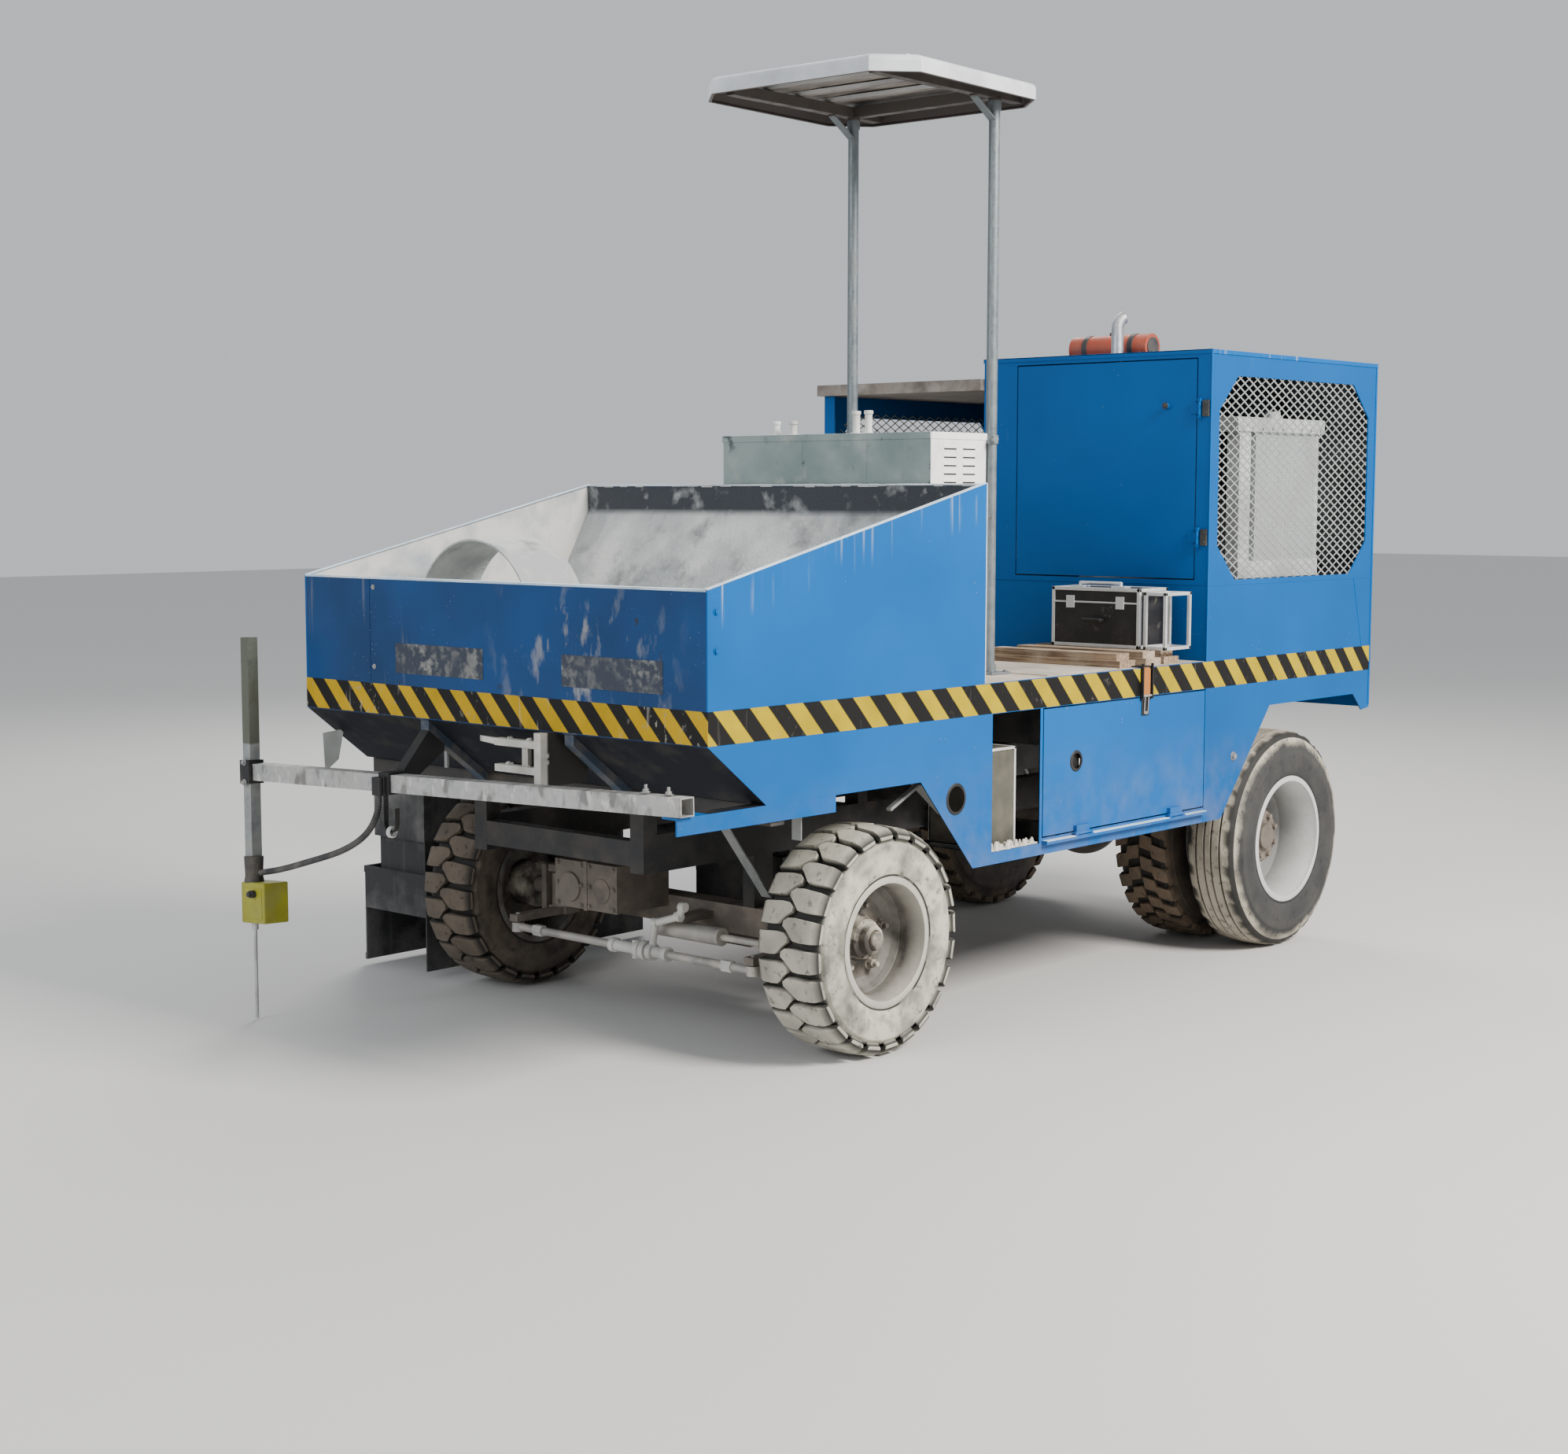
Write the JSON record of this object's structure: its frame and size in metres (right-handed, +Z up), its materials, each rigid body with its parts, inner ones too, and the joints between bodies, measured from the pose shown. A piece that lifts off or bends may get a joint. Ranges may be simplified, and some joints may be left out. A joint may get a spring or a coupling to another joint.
{
  "type": "curb machine",
  "caption": "Self-propelled concrete kerb machine with an open hopper, feed screw and side mould, a standing deck under a canopy and a mesh-sided engine housing.",
  "frame": {"origin": "on the ground under the middle of the front axle", "axes": "-Y towards the hopper end, +X to the machine's left, +Z up"},
  "size_m": [2.413, 4.1806, 3.138],
  "materials": {
    "blue_paint": "scuffed gloss",
    "deep_blue_paint": "scuffed gloss",
    "worn_liner": "dull, cement-coated",
    "dark_steel": "dusty satin",
    "bay_roof_sheet": "weathered",
    "engine_grey": "oily",
    "galvanised": "spangled, dusty",
    "roof_tank_red": "faded",
    "tank_white": "dusty",
    "cabinet_grey": "smudged satin",
    "case_black": "scuffed",
    "board_wood": "weathered",
    "cast_grey": "cement-dusty",
    "rod_steel": "dusty",
    "tyre_rubber": "cement-dusty",
    "rim_silver": "dull",
    "sensor_yellow": "worn",
    "hose_black": "satin"
  },
  "bodies": {
    "chassis": {"frame_rails": "dark_steel", "frame_members": "dark_steel", "hydraulic_tank": "dark_steel", "side_panel_left": "blue_paint", "side_panel_right": "blue_paint", "front_panel": "deep_blue_paint", "hopper_liner": "worn_liner", "screw_hood": "worn_liner", "screw_motor": "dark_steel", "discharge_spout": "worn_liner", "mould_carrier": "dark_steel", "deck_plate": "dark_steel", "engine_housing": "blue_paint", "bay_roof": "bay_roof_sheet", "side_grilles": "dark_steel", "radiator": "dark_steel", "engine_block": "engine_grey", "exhaust_pipe": "galvanised", "roof_tank": "roof_tank_red", "locker_tank": "tank_white", "console_cabinet": "cabinet_grey", "canopy_frame": "galvanised", "canopy_roof": "tank_white", "tool_case": "case_black", "deck_boards": "board_wood", "front_axle": "cast_grey", "rear_axle": "cast_grey", "steering_cylinder": "rod_steel", "boom_bracket": "blue_paint", "sensor_boom": "galvanised", "boom_strap": "deep_blue_paint", "tow_clevis": "cast_grey", "sensor_pole": "galvanised", "pole_clamp": "dark_steel", "sensor_unit": "sensor_yellow", "sensor_hose": "hose_black"},
    "side_door_leaf": {"side_door": "blue_paint"},
    "engine_door_leaf": {"engine_door": "blue_paint"},
    "screw": {"feed_screw": "dark_steel"},
    "mould": {"kerb_mould": "worn_liner"},
    "left_knuckle": {"knuckle_left": "cast_grey"},
    "right_knuckle": {"knuckle_right": "cast_grey"},
    "tie_bar": {"tie_rod": "rod_steel"},
    "steering_ram_rod": {"steering_rod": "rod_steel"},
    "front_wheel_left": {"front_tyre_left": "tyre_rubber", "front_rim_left": "rim_silver"},
    "front_wheel_right": {"front_tyre_right": "tyre_rubber", "front_rim_right": "rim_silver"},
    "rear_wheels_left": {"rear_tyres_left": "tyre_rubber", "rear_rims_left": "rim_silver"},
    "rear_wheels_right": {"rear_tyres_right": "tyre_rubber", "rear_rims_right": "rim_silver"}
  },
  "joints": [
    {"name": "side_door_hinge", "type": "hinge", "parent": "chassis", "child": "side_door_leaf", "pos_m": [0.952, 1.34, 0.606], "axis": [0, 1, 0], "range_deg": [0, 100]},
    {"name": "engine_door_hinge", "type": "hinge", "parent": "chassis", "child": "engine_door_leaf", "pos_m": [0.893, 1.843, 1.8535], "axis": [0, 0, 1], "range_deg": [0, 110]},
    {"name": "screw_turn", "type": "hinge", "parent": "chassis", "child": "screw", "pos_m": [-0.26, -0.06, 1.02], "axis": [1, 0, 0], "continuous": true},
    {"name": "mould_lift", "type": "slide", "parent": "chassis", "child": "mould", "axis": [0, 0, 1], "range_m": [0, 0.1]},
    {"name": "steer_left", "type": "hinge", "parent": "chassis", "child": "left_knuckle", "pos_m": [0.56, 0, 0.367], "axis": [0, 0, 1], "range_deg": [-25, 25]},
    {"name": "steer_right", "type": "hinge", "parent": "chassis", "child": "right_knuckle", "pos_m": [-0.56, 0, 0.367], "axis": [0, 0, 1], "range_deg": [-25, 25]},
    {"name": "tie_rod_left_end", "type": "hinge", "parent": "left_knuckle", "child": "tie_bar", "pos_m": [0.56, -0.23, 0.294], "axis": [0, 0, 1], "range_deg": [-25, 25]},
    {"name": "steering_ram", "type": "slide", "parent": "chassis", "child": "steering_ram_rod", "axis": [1, 0, 0], "range_m": [-0.068, 0.068]},
    {"name": "front_left_spin", "type": "hinge", "parent": "left_knuckle", "child": "front_wheel_left", "pos_m": [0.808, 0, 0.367], "axis": [1, 0, 0], "continuous": true},
    {"name": "front_right_spin", "type": "hinge", "parent": "right_knuckle", "child": "front_wheel_right", "pos_m": [-0.808, 0, 0.367], "axis": [1, 0, 0], "continuous": true},
    {"name": "rear_left_spin", "type": "hinge", "parent": "chassis", "child": "rear_wheels_left", "pos_m": [0.701, 2.446, 0.427], "axis": [1, 0, 0], "continuous": true},
    {"name": "rear_right_spin", "type": "hinge", "parent": "chassis", "child": "rear_wheels_right", "pos_m": [-0.701, 2.446, 0.427], "axis": [1, 0, 0], "continuous": true}
  ],
  "couplings": [
    {"joint": "steer_right", "follows": "steer_left", "ratio": 1},
    {"joint": "tie_rod_left_end", "follows": "steer_left", "ratio": -1},
    {"joint": "steering_ram", "follows": "steer_left", "m_per_rad": 0.155}
  ]
}
